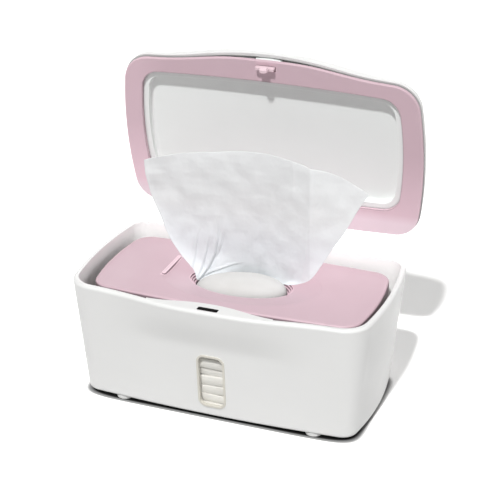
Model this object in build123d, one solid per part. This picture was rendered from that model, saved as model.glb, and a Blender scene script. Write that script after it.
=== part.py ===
from build123d import *
import os
from math import ceil, cos, pi, radians, sin, sqrt

# A tabletop wipes dispenser, drawn in millimetres with +X to the right, +Y to the back and +Z up.
# Every piece is built about the middle of the tub, with the lid closed, and then put in its place.

# Tub
rim_width = 235.0
rim_depth = 130.4
rim_height = 95.4
rim_front_radius = 21.0
rim_back_radius = 15.0
rim_wall = 3.8
rim_outer_round = 2.2
side_taper = 7.5
end_taper = 9.2
base_radius = 11.7
base_wall = 2.0
base_round = 2.6
floor_thickness = 2.4
side_bow = 5.8
front_bow = 4.4
back_bow = 3.0

# Swelling in the middle of the tub's front, which the lid's front edge matches
bump_reach = 5.2
bump_from_side = 32.0
bump_flat_half = 30.0
bump_flat_share = 0.93
bump_drop = 36.0
bump_heights = (0.0, 0.12, 0.3, 0.55, 1.0)
bump_shares = (0.0, 0.05, 0.3, 0.68, 1.0)

# Ledge inside the swelling, and the slot in it that the hook enters
ledge_thickness = 2.6
ledge_half_length = 48.0
ledge_flat_half = 15.0
ledge_reach = 4.2
ledge_root = 1.0
slot_width = 15.6
slot_depth = 5.0
slot_corner = 1.2
slot_behind_front = 5.9
catch_pocket_depth = 6.0

# Window in the tub's front wall
window_width = 18.6
window_height = 42.0
window_middle = 33.6
window_corner = 4.6
bezel_width = 1.5
bezel_proud = 0.7
pane_thickness = 1.5
pane_set_back = 0.8

# Soft feet under the tub
foot_radius = 6.5
foot_stand_off = 2.8
foot_recess = 1.2
foot_side_gap = 0.1
foot_round = 1.0
foot_from_side = 35.0
foot_from_end = 9.5

# Hinge behind the tub's back edge
hinge_behind_rim = 11.4
hinge_above_rim = 1.2
hinge_block_half = 42.0
hinge_block_drop = 19.0
hinge_block_face = 6.3
hinge_block_reach = 13.6
hinge_block_below_axis = 5.7
knuckle_radius = 4.4
knuckle_half_gap = 7.0
outer_ear_width = 8.0
ear_root = 2.0
arm_width = 11.0
arm_side_gap = 0.4
arm_above_seal = 3.4
arm_height = 6.0
stop_thickness = 2.2
stop_gap = 0.15
pin_radius = 1.5
pin_running_gap = 0.08
lid_open_angle = 81.0

# Torsion springs on the hinge pin
lid_spring_wire = 1.1
lid_spring_radius = 3.0
lid_spring_pitch = 1.8
lid_spring_turns = 4
lid_spring_leg = 9.2
spring_gap = 0.1
spring_seat_width = 3.8
spring_seat_rise = 1.4
spring_shelf_reach = 5.2
spring_shelf_thickness = 1.8

# Lid
lid_overhang_side = 1.5
lid_overhang_end = 0.5
lid_front_radius = 22.0
lid_back_radius = 20.0
lid_gap = 0.3
lid_crown = 16.6
lid_dome_radius = 1416.0
lid_wall = 2.3
lid_edge_round = 5.0
shell_above_seal = 1.3
scoop_rise = 2.8
scoop_half_length = 44.0
scoop_depth = 10.0
scoop_wall_reach = 43.0

# Lip along the front of the lid's outer shell, which stands forward of the seal
lip_overhang = 0.8
lip_reach = 6.2
lip_from_side = 30.0
lip_flat_half = 32.0

# Soft seal inside the lid's edge
seal_thickness = 2.5
seal_round = 0.7
seal_inset = 0.5
seal_side_breadth = 15.5
seal_front_breadth = 12.0
seal_back_breadth = 21.4
seal_opening_radius = 15.0

# Inner tray of the lid
tray_thickness = 1.6
tray_step = 4.2
tray_depth = 8.6
tray_floor_radius = 6000.0
inner_bow = 0.7
tray_side_gap = 0.3
tray_round = 2.0

# Button and hook that keep the lid shut
latch_travel = 2.0
button_width = 20.0
button_height = 5.6
button_length = 12.0
button_round = 1.1
button_crown = 0.6
button_front_gap = 0.5
hook_side_gap = 0.6
hook_thickness = 1.8
hook_reach = 8.2
hook_wing_reach = 4.2
hook_wing_corner = 0.9
hook_tongue_width = 6.6
hook_tongue_round = 3.0
hook_nose = 1.1
hook_nose_width = 4.6
hook_nose_face = 0.7
hook_root_width = 11.4
hook_root_height = 2.4
hook_root_depth = 4.2
hook_slot_corner = 0.4
latch_gap = 0.25
catch_gap = 0.4
catch_overlap = 0.8
latch_spring_wire = 0.6
latch_spring_radius = 1.9
latch_spring_pitch = 1.3
latch_spring_turns = 4

# Weighted plate that rests on the wipes
plate_side_gap = 1.5
plate_front_gap = 8.3
plate_back_gap = 0.3
plate_radius = 15.0
plate_bow = 0.9
plate_below_rim = 7.4
plate_thickness = 11.0
plate_wall = 1.9
plate_round = 1.8
opening_width = 80.0
opening_depth = 44.0
opening_middle = 2.6
dish_width = 124.0
dish_depth = 78.0
dish_drop = 3.0
throat_steps = 3
throat_step_in = 1.3
throat_step_down = 1.5
guide_rib_x = -58.0
guide_rib_middle = 7.0
guide_rib_length = 33.0
guide_rib_width = 3.4
guide_rib_height = 1.4
weight_thickness = 4.5
weight_side_gap = 1.0
weight_opening_gap = 1.5
plate_fit_gap = 0.2

# Wipes: the folded stack and the one that stands up through the opening
stack_side_gap = 13.0
stack_front_gap = 6.0
stack_back_gap = 3.0
stack_round = 4.0
stack_gap = 0.3
stack_crown_gap = 2.0
stack_crown_rise = 5.4
stack_crown_round = 4.6
wipe_thickness = 0.8
wipe_foot_gap = 0.4
wipe_height = 104.8
wipe_left_corner_drop = 14.5
wipe_right_corner_drop = 25.0
wipe_folds = 5
wipe_fold_change = 0.35
wipe_fold_rhythm = 2.0
wipe_lean_start = 47.0
wipe_lean = 0.28
wipe_levels = (0.0, 0.08, 0.167, 0.28, 0.434, 0.6, 0.76, 1.0)
wipe_lefts = (33.0, 41.0, 51.0, 60.0, 67.0, 73.5, 76.0, 77.5)
wipe_rights = (34.0, 44.0, 54.5, 62.5, 71.5, 81.0, 90.0, 92.0)
wipe_left_places = (-1.0, 2.0, 6.0, 8.0, 8.0, 7.0, 5.0, 4.0)
wipe_right_places = (7.0, 9.0, 10.0, 10.0, 10.0, 10.0, 10.0, 10.0)
wipe_bows = (15.0, 12.0, 9.0, 6.5, 4.5, 3.5, 3.0, 3.0)
wipe_fold_depths = (1.9, 2.1, 2.3, 2.3, 2.1, 1.8, 1.6, 1.4)

# How near two points are to count as one place
same_place = 0.01

# Heights and places that follow from the sizes above
base_width = rim_width - 2 * side_taper
base_depth = rim_depth - 2 * end_taper
bump_half_length = rim_width / 2 - bump_from_side
lip_half_length = rim_width / 2 - lip_from_side
foot_x = base_width / 2 - foot_from_side
foot_y = base_depth / 2 - foot_from_end
front_y = -rim_depth / 2
back_y = rim_depth / 2
bump_y = front_y - bump_reach
tub_bottom = foot_stand_off
floor_top = tub_bottom + floor_thickness
ledge_bottom = rim_height - ledge_thickness
seal_bottom = rim_height + lid_gap
seal_top = seal_bottom + seal_thickness
tray_flange_top = seal_top + tray_thickness
shell_bottom = seal_top + shell_above_seal
crown_height = seal_bottom + lid_crown
hinge_y = back_y + hinge_behind_rim
hinge_z = rim_height + hinge_above_rim
slot_y = bump_y + slot_behind_front
shell_front = front_y - lid_overhang_end - lip_overhang - lip_reach
tray_top = seal_bottom + tray_depth
lid_width = rim_width + 2 * lid_overhang_side
lid_depth = rim_depth + 2 * lid_overhang_end
seal_opening_width = lid_width - 2 * seal_side_breadth
seal_opening_depth = lid_depth - seal_front_breadth - seal_back_breadth
seal_opening_shift = (seal_front_breadth - seal_back_breadth) / 2
hook_width = slot_width - 2 * hook_side_gap
plate_width = base_width - 2 * (base_wall + plate_side_gap)
plate_depth = base_depth - 2 * base_wall - plate_front_gap - plate_back_gap
plate_middle = (plate_front_gap - plate_back_gap) / 2
stack_width = base_width - 2 * (base_wall + stack_side_gap)
stack_depth = base_depth - 2 * base_wall - stack_front_gap - stack_back_gap
stack_middle = (stack_front_gap - stack_back_gap) / 2
hook_front = slot_y - slot_depth / 2 + hook_nose - catch_overlap
plate_top_height = rim_height - plate_below_rim
plate_bottom = plate_top_height - plate_thickness
hinge_line = Axis((0, hinge_y, hinge_z), (1, 0, 0))
crown_top = plate_bottom - stack_gap + stack_crown_rise
block_top = hinge_z - hinge_block_below_axis


def bowed_outline(
    width,
    depth,
    front_radius,
    back_radius,
    z,
    bump=0.0,
    middle=0.0,
    bow=1.0,
    half_length=bump_half_length,
    flat_half=bump_flat_half,
):
    """A rectangle at height z with bowed sides and round corners, whose front can swell in its middle."""
    side_x = width / 2 - side_bow * bow
    front = middle - depth / 2
    back = middle + depth / 2
    front_end = front + front_bow * bow
    back_end = back - back_bow * bow
    front_arc = ThreePointArc((-side_x, front_end), (0, front), (side_x, front_end))
    start = 0.5 - half_length / (2 * side_x)
    end = 1 - start
    side_point = front_arc @ (0.5 - flat_half / (2 * side_x))
    side_y = side_point.Y - bump_flat_share * bump
    swelling = Spline(
        front_arc @ start,
        (side_point.X, side_y),
        (0, front - bump),
        (-side_point.X, side_y),
        front_arc @ end,
        tangents=[front_arc % start, front_arc % end],
    )
    edges = [
        front_arc.trim(0, start),
        swelling,
        front_arc.trim(end, 1),
        ThreePointArc((side_x, front_end), (width / 2, middle), (side_x, back_end)),
        ThreePointArc((side_x, back_end), (0, back), (-side_x, back_end)),
        ThreePointArc((-side_x, back_end), (-width / 2, middle), (-side_x, front_end)),
    ]
    face = make_face(edges)
    corners = face.vertices().filter_by(lambda v: abs(abs(v.X) - side_x) < same_place)
    face = fillet(corners.filter_by(lambda v: v.Y < middle), front_radius)
    corners = face.vertices().filter_by(lambda v: abs(abs(v.X) - side_x) < same_place)
    face = fillet(corners.filter_by(lambda v: v.Y > middle), back_radius)
    return Pos(0, 0, z) * face


def prism(face, height):
    """The face pulled straight up by height."""
    return extrude(face, height, dir=(0, 0, 1))


def tub_section(rim_inset, base_inset, z, bump):
    """The tub's outline at height z, drawn in by an inset that changes from base to rim."""
    up = (z - tub_bottom) / (rim_height - tub_bottom)
    inset = base_inset + (rim_inset - base_inset) * up
    width = base_width + (rim_width - base_width) * up
    depth = base_depth + (rim_depth - base_depth) * up
    front_radius = base_radius + (rim_front_radius - base_radius) * up
    back_radius = base_radius + (rim_back_radius - base_radius) * up
    return bowed_outline(
        width - 2 * inset,
        depth - 2 * inset,
        front_radius - inset,
        back_radius - inset,
        z,
        bump,
    )


def tub_lower_form(rim_inset, base_inset, low):
    """The tub's tapered form below the swelling."""
    high = rim_height - bump_drop
    return loft([tub_section(rim_inset, base_inset, z, 0.0) for z in (low, high)], ruled=True)


def tub_upper_form(rim_inset, base_inset):
    """The tub's form from the start of the swelling to the rim."""
    sections = []
    for up, share in zip(bump_heights, bump_shares):
        z = rim_height - bump_drop * (1 - up)
        sections.append(tub_section(rim_inset, base_inset, z, bump_reach * share))
    return loft(sections)


def tub_form(rim_inset, base_inset):
    """The tub's whole outer form drawn in by the two insets."""
    return tub_lower_form(rim_inset, base_inset, floor_top) + tub_upper_form(rim_inset, base_inset)


def window_prism(grow, corner):
    """A block through the front wall with the window's outline, larger all round by grow."""
    face = RectangleRounded(window_width + 2 * grow, window_height + 2 * grow, corner)
    through = Plane(origin=(0, -rim_depth, window_middle), x_dir=(1, 0, 0), z_dir=(0, 1, 0))
    return extrude(through * face, rim_depth)


def hinge_section(points, radius):
    """A profile across the hinge: the given points, wrapped together with the knuckle's circle."""
    plane = Plane(origin=(0, 0, 0), x_dir=(0, 1, 0), z_dir=(1, 0, 0))
    circle = CenterArc((hinge_y, hinge_z), radius, 0, 360)
    outline = Polyline(*points)
    return plane * make_hull([circle] + outline.edges())


def along_x(face, low, high):
    """A profile drawn across X, pulled from low to high."""
    return Pos(low, 0, 0) * extrude(face, high - low, dir=(1, 0, 0))


def mirrored(solid):
    """The solid and its mirror image on the other side of the middle."""
    return solid + mirror(solid, Plane.YZ)


def hinge_bore(radius):
    """A long cylinder on the hinge's line."""
    return Pos(0, hinge_y, hinge_z) * Rot(0, 90, 0) * Cylinder(radius, 4 * hinge_block_half)


def spring_start_x():
    """Where the first turn of the right-hand spring begins."""
    room = hinge_block_half - outer_ear_width - arm_width - arm_side_gap - knuckle_half_gap
    turns = lid_spring_turns + (90 + 90 - lid_open_angle) / 360
    return knuckle_half_gap + (room - lid_spring_pitch * turns) / 2


def foot_places():
    """The feet by name, with the middle of each."""
    return {
        "foot_front_left": (-foot_x, -foot_y),
        "foot_front_right": (foot_x, -foot_y),
        "foot_back_left": (-foot_x, foot_y),
        "foot_back_right": (foot_x, foot_y),
    }


def make_tub():
    """White moulded tub with a ledge and slot at the front and a hinge block at the back."""
    lower = tub_lower_form(0, 0, tub_bottom)
    upper = tub_upper_form(0, 0)
    body = fillet(lower.edges().group_by(Axis.Z)[0], base_round)
    body += fillet(upper.edges().group_by(Axis.Z)[-1], rim_outer_round)
    hollow = tub_form(rim_wall, base_wall)
    edge_y = front_y + rim_wall
    ledge_line = Spline(
        (-ledge_half_length, edge_y - ledge_root),
        (-ledge_flat_half, edge_y + ledge_reach),
        (ledge_flat_half, edge_y + ledge_reach),
        (ledge_half_length, edge_y - ledge_root),
        tangents=[(1, 0), (1, 0)],
    )
    ledge_front = Polyline(
        (ledge_half_length, edge_y - ledge_root),
        (ledge_half_length, -rim_depth),
        (-ledge_half_length, -rim_depth),
        (-ledge_half_length, edge_y - ledge_root),
    )
    ledge_face = make_face(ledge_line.edges() + ledge_front.edges())
    body -= hollow - Pos(0, 0, ledge_bottom) * prism(ledge_face, ledge_thickness)
    slot = Pos(0, slot_y, ledge_bottom) * RectangleRounded(slot_width, slot_depth, slot_corner)
    body -= prism(slot, ledge_thickness)
    pocket_front = hook_front - hook_nose - latch_gap
    pocket_y = (pocket_front + slot_y) / 2
    pocket_face = Rectangle(slot_width, slot_y - pocket_front)
    body -= Pos(0, pocket_y, ledge_bottom - catch_pocket_depth) * prism(pocket_face, catch_pocket_depth)
    body -= window_prism(bezel_width, window_corner + bezel_width)
    for x, y in foot_places().values():
        body -= Pos(x, y, tub_bottom) * prism(Circle(foot_radius + foot_side_gap), foot_recess)
    return body + make_hinge_block() + make_spring_seats()


def wall_y(z, inset):
    """How far back the tub's back wall stands at height z, drawn in by inset."""
    up = (z - tub_bottom) / (rim_height - tub_bottom)
    return (base_depth + (rim_depth - base_depth) * up) / 2 - inset


def make_hinge_block():
    """The block and three ears behind the tub that carry the hinge pin."""
    top = block_top
    low = top - hinge_block_drop
    inset = rim_wall / 2
    reach = back_y + hinge_block_reach
    block_outline = Polyline(
        (wall_y(low, inset), low),
        (reach, top - hinge_block_face),
        (reach, top),
        (wall_y(top, inset), top),
        close=True,
    )
    plane = Plane(origin=(0, 0, 0), x_dir=(0, 1, 0), z_dir=(1, 0, 0))
    block = along_x(plane * make_face(block_outline), -hinge_block_half, hinge_block_half)
    ear_front = hinge_y - knuckle_radius
    ear_points = [
        (ear_front, top),
        (reach, top),
        (reach, top - ear_root),
        (ear_front, top - ear_root),
        (ear_front, top),
    ]
    ear = hinge_section(ear_points, knuckle_radius)
    block += along_x(ear, -knuckle_half_gap, knuckle_half_gap)
    block += mirrored(along_x(ear, hinge_block_half - outer_ear_width, hinge_block_half))
    return block - hinge_bore(pin_radius)


def make_spring_seats():
    """Two grooved pads on the hinge block that the springs' lower legs lie in."""
    leg_bottom = hinge_z - lid_spring_radius - lid_spring_wire / 2 - spring_gap
    length = hinge_y - lid_spring_radius - back_y
    seat_x = spring_start_x()
    seat_y = back_y + length / 2
    rise = leg_bottom + spring_seat_rise - block_top
    pad = Pos(seat_x, seat_y, block_top) * prism(Rectangle(spring_seat_width, length), rise)
    groove_face = Rectangle(lid_spring_wire + 2 * spring_gap, length)
    return mirrored(pad - Pos(seat_x, seat_y, leg_bottom) * prism(groove_face, spring_seat_rise))


def make_window_bezel():
    """A thin raised frame round the window."""
    band = tub_form(-bezel_proud, -bezel_proud) - tub_form(rim_wall, base_wall)
    ring = window_prism(bezel_width, window_corner + bezel_width) - window_prism(0, window_corner)
    return band & ring


def make_window_pane():
    """A clear pane inside the bezel, a little behind the wall's outer face."""
    back = pane_set_back + pane_thickness
    band = tub_form(pane_set_back, pane_set_back) - tub_form(back, back)
    return band & window_prism(0, window_corner)


def make_foot(x, y):
    """A soft round pad, half sunk in the tub's floor."""
    pad = prism(Circle(foot_radius), foot_stand_off + foot_recess)
    pad = fillet(pad.edges().group_by(Axis.Z)[0], foot_round)
    return Pos(x, y, 0) * pad


def make_hinge_pin():
    """A steel pin through all the knuckles."""
    return Pos(0, hinge_y, hinge_z) * Rot(0, 90, 0) * Cylinder(pin_radius, 2 * hinge_block_half)


def tangent_pair(start, start_way, end, end_way):
    """Two arcs that join two points in space, tangent to each other and to the given way at each end."""
    span = end - start
    ways = start_way + end_way
    a = 2 * (1 - start_way.dot(end_way))
    b = 2 * span.dot(ways)
    c = -span.dot(span)
    reach = (-b + sqrt(b * b - 4 * a * c)) / (2 * a)
    meeting = (start + end + (start_way - end_way) * reach) * 0.5
    meeting_way = ((end - end_way * reach) - (start + start_way * reach)).normalized()
    return [
        Edge.make_tangent_arc(start, start_way, meeting),
        Edge.make_tangent_arc(meeting, meeting_way, end),
    ]


def coil_edges(radius, pitch, first_angle, whole_angle, place):
    """A coil about X in arcs of at most a quarter turn; place carries a point from the coil's own frame."""
    steps = ceil(whole_angle / 90)
    edges = []
    rise = pitch / (2 * pi * radius)
    for number in range(steps):
        ends = []
        for step in (number, number + 1):
            turned = radians(whole_angle * step / steps)
            angle = radians(first_angle) + turned
            point = Vector(pitch * turned / (2 * pi), radius * cos(angle), radius * sin(angle))
            sideways = 0 if step in (0, steps) else rise
            way = Vector(sideways, -sin(angle), cos(angle)).normalized()
            ends.append((place(point), place(way) - place(Vector(0, 0, 0))))
        edges += tangent_pair(ends[0][0], ends[0][1], ends[1][0], ends[1][1])
    return edges


def tube(edges, wire):
    """One unbroken round wire along the edges."""
    path = Wire(edges)
    section = Plane(origin=path @ 0, z_dir=path % 0) * Circle(wire / 2)
    return sweep(section, path=path)


def least_gap(radius, pitch, turns, wire):
    """The least gap between two turns of a coil, measured on points one turn or more apart."""
    per_turn = 72
    least = radius
    for first in range(int(per_turn * turns)):
        for second in range(first + per_turn // 2, int(per_turn * turns)):
            turn = 2 * pi * (second - first) / per_turn
            along = pitch * (second - first) / per_turn
            apart = sqrt(along * along + 2 * radius * radius * (1 - cos(turn)))
            least = min(least, apart - wire)
    return least


def make_lid_spring():
    """The right-hand torsion spring with the lid open: a coil on the pin, and legs on seat and shelf."""
    start_x = spring_start_x()

    def place(point):
        return Vector(start_x + point.X, hinge_y + point.Y, hinge_z + point.Z)

    whole_angle = 360 * lid_spring_turns + 180 - lid_open_angle
    edges = coil_edges(lid_spring_radius, lid_spring_pitch, 270, whole_angle, place)
    coil = Wire(edges)
    low_leg = Edge.make_line(coil @ 0 - (coil % 0) * lid_spring_leg, coil @ 0)
    high_leg = Edge.make_line(coil @ 1, coil @ 1 + (coil % 1) * lid_spring_leg)
    return tube([low_leg] + edges + [high_leg], lid_spring_wire)


def lid_outline(inset, z):
    """The lid's outline drawn in by inset."""
    return bowed_outline(
        lid_width - 2 * inset,
        lid_depth - 2 * inset,
        lid_front_radius - inset,
        lid_back_radius - inset,
        z,
        bump_reach,
    )


def shell_outline(inset, z):
    """The outer shell's outline drawn in by inset, with the lip along its front."""
    return bowed_outline(
        lid_width - 2 * inset,
        lid_depth + lip_overhang - 2 * inset,
        lid_front_radius - inset,
        lid_back_radius - inset,
        z,
        lip_reach,
        middle=-lip_overhang / 2,
        half_length=lip_half_length,
        flat_half=lip_flat_half,
    )


def ball(top, radius):
    """A large ball whose top is at the given height and whose poles are far off to the front and back."""
    return Pos(0, 0, top - radius) * Rot(90, 0, 0) * Sphere(radius)


def dome(below):
    """A large ball that gives the lid its crown, lowered by below."""
    return ball(crown_height - below, lid_dome_radius - below)


def inner_outline(step, z):
    """The lid's inner opening, drawn in by step."""
    return bowed_outline(
        seal_opening_width - 2 * step,
        seal_opening_depth - 2 * step,
        seal_opening_radius - step,
        seal_opening_radius - step,
        z,
        middle=seal_opening_shift,
        bow=inner_bow,
    )


def scoop_prism(rise, half_length, low, depth):
    """A block with an arched top, set in from the lid's front edge by depth, for the finger scoop."""
    front = Plane(origin=(0, -rim_depth, low), x_dir=(1, 0, 0), z_dir=(0, 1, 0))
    arch = Spline((-half_length, 0), (0, -rise), (half_length, 0), tangents=[(1, 0), (1, 0)])
    face = make_face([arch, Line((half_length, 0), (-half_length, 0))])
    return extrude(front * face, rim_depth + bump_y + depth)


def make_lid_shell():
    """White domed outer shell with a finger scoop at the front and two hinge arms at the back."""
    height = lid_crown + lid_edge_round
    outer = prism(shell_outline(0, shell_bottom), height) & dome(0)
    outer = fillet(outer.faces().sort_by(Axis.Z)[-1].edges(), lid_edge_round)
    inner = prism(shell_outline(lid_wall, shell_bottom), height) & dome(lid_wall)
    shell = outer - inner
    shell -= scoop_prism(scoop_rise, scoop_half_length, shell_bottom, scoop_depth)
    return shell + make_hinge_arms()


def make_hinge_arms():
    """Two arms with knuckles and open stops, joined by the shelf that the springs push on."""
    rear = back_y + lid_overhang_end
    low = seal_top + arm_above_seal
    inside = rear - lid_wall / 2
    points = [(inside, low), (inside, low + arm_height), (rear, low + arm_height), (rear, low), (inside, low)]
    arm = hinge_section(points, knuckle_radius)
    arm_high = hinge_block_half - outer_ear_width - arm_side_gap
    arm_low = arm_high - arm_width
    stop_reach = hinge_block_below_axis - stop_gap
    stop_middle = (0, hinge_y + stop_thickness / 2, hinge_z - stop_reach / 2)
    stop_plane = Plane(origin=stop_middle, x_dir=(0, 1, 0), z_dir=(1, 0, 0))
    stop = along_x(stop_plane * Rectangle(stop_thickness, stop_reach), arm_low, arm_high)
    arms = along_x(arm, arm_low, arm_high) + stop.rotate(hinge_line, lid_open_angle)
    shelf_bottom = hinge_z + lid_spring_radius + lid_spring_wire / 2 + spring_gap
    shelf_depth = rear + spring_shelf_reach - inside
    shelf_face = Rectangle(2 * arm_high, shelf_depth)
    shelf = Pos(0, inside + shelf_depth / 2, shelf_bottom) * prism(shelf_face, spring_shelf_thickness)
    return mirrored(arms) + shelf - hinge_bore(pin_radius + pin_running_gap)


def hook_slot(z, height):
    """The hole that the hook needs in the seal and the tray, with room for its travel."""
    depth = hook_thickness + latch_travel + 2 * latch_gap
    middle = hook_front - latch_gap + depth / 2
    face = RectangleRounded(hook_width + 2 * latch_gap, depth, hook_slot_corner)
    return Pos(0, middle, z) * prism(face, height)


def make_lid_seal():
    """Soft pink ring that the lid presses on the rim."""
    ring = prism(lid_outline(seal_inset, seal_bottom), seal_thickness)
    ring = fillet(ring.edges().group_by(Axis.Z)[0], seal_round)
    ring -= prism(inner_outline(0, seal_bottom), seal_thickness)
    return ring - hook_slot(seal_bottom, seal_thickness)


def make_lid_tray():
    """White inner tray with a flange behind the seal, a step and a recess with a nearly flat floor."""
    inset = lid_wall + tray_side_gap
    flange = prism(lid_outline(inset, seal_top), tray_thickness)
    pan = prism(inner_outline(tray_step - tray_thickness, seal_top), lid_crown)
    pan &= ball(tray_top + tray_thickness, tray_floor_radius + tray_thickness)
    recess = prism(inner_outline(tray_step, seal_top), lid_crown) & ball(tray_top, tray_floor_radius)
    recess = fillet(recess.faces().sort_by(Axis.Z)[-1].edges(), tray_round)
    tray = flange + pan - recess
    tray -= hook_slot(seal_top, tray_thickness)
    return tray + make_scoop_wall()


def make_scoop_wall():
    """The curved wall behind the finger scoop, with a gap for the button."""
    back = lid_wall + scoop_depth
    room = prism(lid_outline(back, tray_flange_top), lid_crown)
    room -= prism(lid_outline(back + tray_thickness, tray_flange_top), lid_crown)
    place = Pos(0, -rim_depth / 2, tray_flange_top)
    keep = place * prism(Rectangle(2 * scoop_half_length, scoop_wall_reach), lid_crown)
    gap = place * prism(Rectangle(button_width + 2 * latch_gap, rim_depth), lid_crown)
    return (room & keep & dome(lid_wall + tray_side_gap)) - gap


def make_latch_button():
    """The push button, with a crowned front and a pocket for the hook's root."""
    low = tray_flange_top + latch_gap
    front = shell_front + lid_wall + button_front_gap
    side = button_width / 2
    corner = front + button_crown
    back = front + button_length
    sides = Polyline((side, corner), (side, back), (-side, back), (-side, corner))
    face = make_face([ThreePointArc((-side, corner), (0, front), (side, corner))] + sides.edges())
    block = Pos(0, 0, low) * prism(face, button_height)
    block = fillet(block.faces().sort_by(Axis.Y)[0].edges(), button_round)
    return block - make_hook_root()


def make_hook_root():
    """The block at the hook's top, which fills the button's pocket."""
    low = tray_flange_top + latch_gap
    face = Rectangle(hook_root_width, hook_root_depth)
    return Pos(0, hook_front + hook_root_depth / 2, low) * prism(face, hook_root_height)


def standing_face(width, low, high, corner):
    """A rectangle with round corners between two heights, on the plane of the hook's front."""
    front = Plane(origin=(0, hook_front, (low + high) / 2), x_dir=(1, 0, 0), z_dir=(0, -1, 0))
    return front * RectangleRounded(width, high - low, corner)


def make_latch_hook():
    """Pink hook: a stem with two short wings, and a long tongue whose nose catches under the ledge."""
    top = tray_flange_top + latch_gap + hook_root_height
    tongue_end = seal_bottom - hook_reach
    wing_end = seal_bottom - hook_wing_reach
    face = standing_face(hook_width, wing_end, seal_top, hook_wing_corner)
    face += standing_face(hook_root_width, wing_end, top, hook_wing_corner)
    face += standing_face(hook_tongue_width, tongue_end, seal_top, hook_tongue_round)
    stem = extrude(face, -hook_thickness)
    side = Plane(origin=(0, 0, 0), x_dir=(0, 1, 0), z_dir=(1, 0, 0))
    nose_top = ledge_bottom - catch_gap
    nose_outline = Polyline(
        (hook_front, nose_top),
        (hook_front - hook_nose, nose_top),
        (hook_front - hook_nose, nose_top - hook_nose_face),
        (hook_front, tongue_end + hook_tongue_round / 2),
        close=True,
    )
    nose = along_x(side * make_face(nose_outline), -hook_nose_width / 2, hook_nose_width / 2)
    return stem + nose + make_hook_root()


def make_latch_spring():
    """A small coil that pushes the button forward from the tray's wall."""
    front = shell_front + lid_wall + button_front_gap + button_length
    tray_wall = seal_opening_shift - seal_opening_depth / 2 + tray_step - tray_thickness
    middle_z = tray_flange_top + latch_gap + button_height / 2
    length = latch_spring_pitch * latch_spring_turns
    start_y = (front + tray_wall) / 2 - length / 2

    def place(point):
        return Vector(point.Y, start_y + point.X, middle_z + point.Z)

    edges = coil_edges(latch_spring_radius, latch_spring_pitch, 0, 360 * latch_spring_turns, place)
    return tube(edges, latch_spring_wire)


def plate_outline(inset, z):
    """The weighted plate's outline drawn in by inset."""
    radius = plate_radius - inset
    return bowed_outline(
        plate_width - 2 * inset,
        plate_depth - 2 * inset,
        radius,
        radius,
        z,
        middle=plate_middle,
        bow=plate_bow,
    )


def opening_ellipse(grow, z):
    """The dispensing opening's ellipse, larger all round by grow."""
    return Pos(0, opening_middle, z) * Ellipse(opening_width / 2 + grow, opening_depth / 2 + grow)


def make_plate_top():
    """Pink cover of the plate: a dished top round a stepped opening, a skirt, and a rib at the left."""
    cover = prism(plate_outline(0, plate_bottom), plate_thickness)
    cover = fillet(cover.edges().group_by(Axis.Z)[-1], plate_round)
    under = plate_top_height - plate_wall
    room = prism(plate_outline(plate_wall, plate_bottom), under - plate_bottom)
    dish_top = Pos(0, opening_middle, plate_top_height) * Ellipse(dish_width / 2, dish_depth / 2)
    dish = loft([opening_ellipse(0, plate_top_height - dish_drop), dish_top])
    dish_edge = opening_ellipse(0, plate_top_height - dish_drop - plate_wall)
    dish_skin = loft([dish_edge, Pos(0, 0, -plate_wall) * dish_top])
    throat = prism(opening_ellipse(plate_wall, plate_bottom), plate_top_height - dish_drop - plate_bottom)
    cover = cover - (room - dish_skin - throat) - dish
    for step in range(throat_steps + 1):
        top = plate_top_height - dish_drop - step * throat_step_down
        low = plate_bottom if step == throat_steps else top - throat_step_down
        cover -= prism(opening_ellipse(-throat_step_in * step, low), top - low)
    rib = Pos(guide_rib_x, guide_rib_middle, plate_top_height - guide_rib_height) * prism(
        SlotOverall(guide_rib_length, guide_rib_width, rotation=90), 2 * guide_rib_height
    )
    rib = fillet(rib.edges().group_by(Axis.Z)[-1], guide_rib_height / 2)
    return cover + rib


def make_plate_base():
    """Flat underside of the plate, inside the skirt."""
    inset = plate_wall + plate_fit_gap
    base = prism(plate_outline(inset, plate_bottom), plate_wall)
    return base - prism(opening_ellipse(plate_wall + plate_fit_gap, plate_bottom), plate_wall)


def make_plate_weight():
    """Steel sheet between the plate's cover and its base."""
    low = plate_bottom + plate_wall
    weight = prism(plate_outline(plate_wall + weight_side_gap, low), weight_thickness)
    grow_x = (dish_width - opening_width) / 2 + weight_opening_gap
    grow_y = (dish_depth - opening_depth) / 2 + weight_opening_gap
    hole = Pos(0, opening_middle, low) * Ellipse(opening_width / 2 + grow_x, opening_depth / 2 + grow_y)
    return weight - prism(hole, weight_thickness)


def make_wipe_stack():
    """The folded wipes, with a low crown that stands up in the opening."""
    low = floor_top + stack_gap
    high = plate_bottom - stack_gap
    block_face = RectangleRounded(stack_width, stack_depth, 2 * stack_round)
    block = Pos(0, stack_middle, low) * prism(block_face, high - low)
    block = fillet(block.edges().group_by(Axis.Z)[-1], stack_round)
    shrink = throat_steps * throat_step_in + stack_crown_gap
    crown = prism(opening_ellipse(-shrink, high - stack_round), stack_round + stack_crown_rise)
    crown = fillet(crown.edges().group_by(Axis.Z)[-1], stack_crown_round)
    return block + crown


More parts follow.
